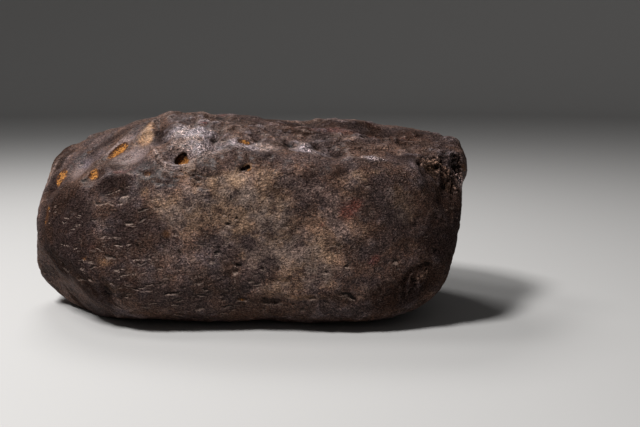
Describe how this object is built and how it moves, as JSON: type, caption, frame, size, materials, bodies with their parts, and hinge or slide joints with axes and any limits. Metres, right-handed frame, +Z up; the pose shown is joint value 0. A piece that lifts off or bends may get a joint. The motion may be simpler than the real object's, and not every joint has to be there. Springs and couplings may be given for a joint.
{
  "type": "iron meteorite",
  "caption": "Loaf-shaped mass of weathered meteoric iron, worn smooth, with scooped hollows, pits and a broken upper corner, lying on a small flat spot.",
  "frame": {"origin": "on the surface that the stone lies on, under the middle of its bounding box", "axes": "+X along the stone's length, towards the broken corner; -Y is the broad face that the picture shows; +Z up"},
  "size_m": [0.2652, 0.1524, 0.1189],
  "materials": {
    "weathered_iron": "dark brown-black weathered iron, satin, with blue-grey polished scoops, tan dust in the grain and orange rust in the pits"
  },
  "bodies": {
    "root": {"iron_meteorite": "weathered_iron"}
  },
  "joints": []
}
